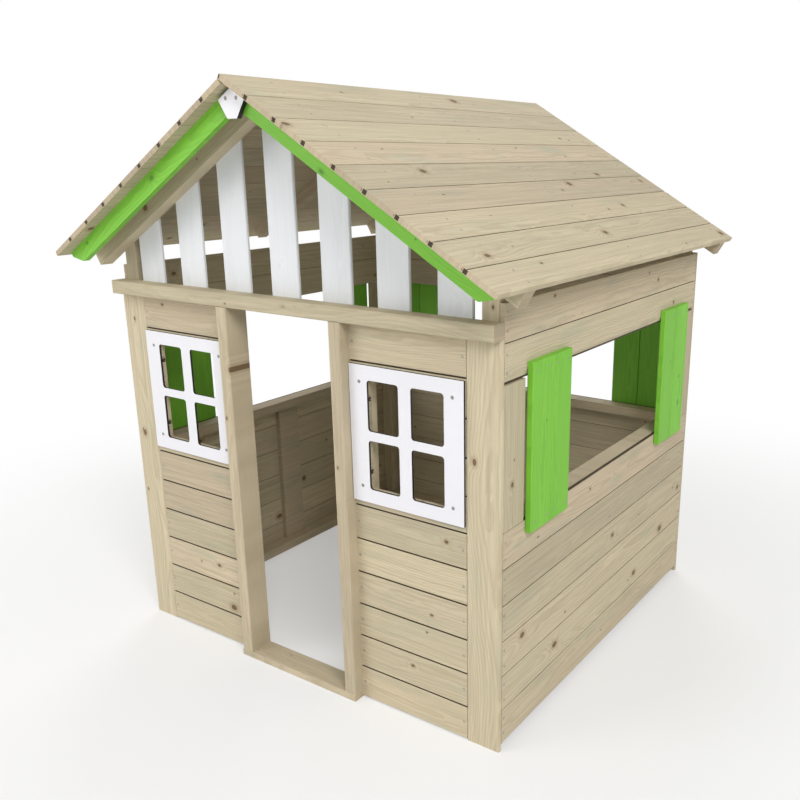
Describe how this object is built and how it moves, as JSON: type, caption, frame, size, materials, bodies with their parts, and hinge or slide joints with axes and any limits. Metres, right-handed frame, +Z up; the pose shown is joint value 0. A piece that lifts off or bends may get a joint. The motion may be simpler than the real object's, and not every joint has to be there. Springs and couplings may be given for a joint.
{
  "type": "wooden playhouse",
  "caption": "Children's garden playhouse of boarded pine with a gable roof, open doorway, pane windows, wide openings with fixed green shutters, and slatted gables.",
  "frame": {"origin": "on the ground under the middle of the roof, at the bottom centre of the bounding box", "axes": "+Z up, +Y from the front wall with the doorway to the rear wall, +X to the right seen from the front"},
  "size_m": [1.35, 1.328, 1.4753],
  "materials": {
    "pine": "planed, pressure treated, unpainted",
    "green_paint": "green stain, satin",
    "white_paint": "white paint, satin",
    "laminate": "white high-pressure laminate with a black core"
  },
  "bodies": {
    "root": {"front_beam": "pine", "front_gable_slat_1": "white_paint", "front_gable_slat_2": "white_paint", "front_gable_slat_3": "white_paint", "front_gable_slat_4": "white_paint", "front_gable_slat_5": "white_paint", "front_gable_slat_6": "white_paint", "front_gable_slat_7": "white_paint", "front_left_corner_board": "pine", "front_left_post": "pine", "front_left_rafter": "pine", "front_right_corner_board": "pine", "front_right_post": "pine", "front_right_rafter": "pine", "left_barge_board": "green_paint", "left_door_post": "pine", "left_front_battens": "pine", "left_front_boards": "pine", "left_roof_boards": "pine", "left_wall_frame": "pine", "left_wall_front_end_board": "pine", "left_wall_front_shutter": "green_paint", "left_wall_lower_boards": "pine", "left_wall_rear_end_board": "pine", "left_wall_rear_shutter": "green_paint", "left_wall_upper_boards": "pine", "left_window_panel": "laminate", "middle_left_rafter": "pine", "middle_right_rafter": "pine", "rear_gable_rail": "pine", "rear_gable_slats": "white_paint", "rear_left_corner_board": "pine", "rear_left_post": "pine", "rear_left_rafter": "pine", "rear_right_corner_board": "pine", "rear_right_post": "pine", "rear_right_rafter": "pine", "rear_wall_frame": "pine", "rear_wall_left_shutter": "green_paint", "rear_wall_lower_boards": "pine", "rear_wall_right_shutter": "green_paint", "rear_wall_upper_boards": "pine", "ridge_plate": "laminate", "right_barge_board": "green_paint", "right_door_post": "pine", "right_front_battens": "pine", "right_front_boards": "pine", "right_roof_boards": "pine", "right_wall_frame": "pine", "right_wall_front_end_board": "pine", "right_wall_front_shutter": "green_paint", "right_wall_lower_boards": "pine", "right_wall_rear_end_board": "pine", "right_wall_rear_shutter": "green_paint", "right_wall_upper_boards": "pine", "right_window_panel": "laminate", "threshold": "pine"}
  },
  "joints": []
}
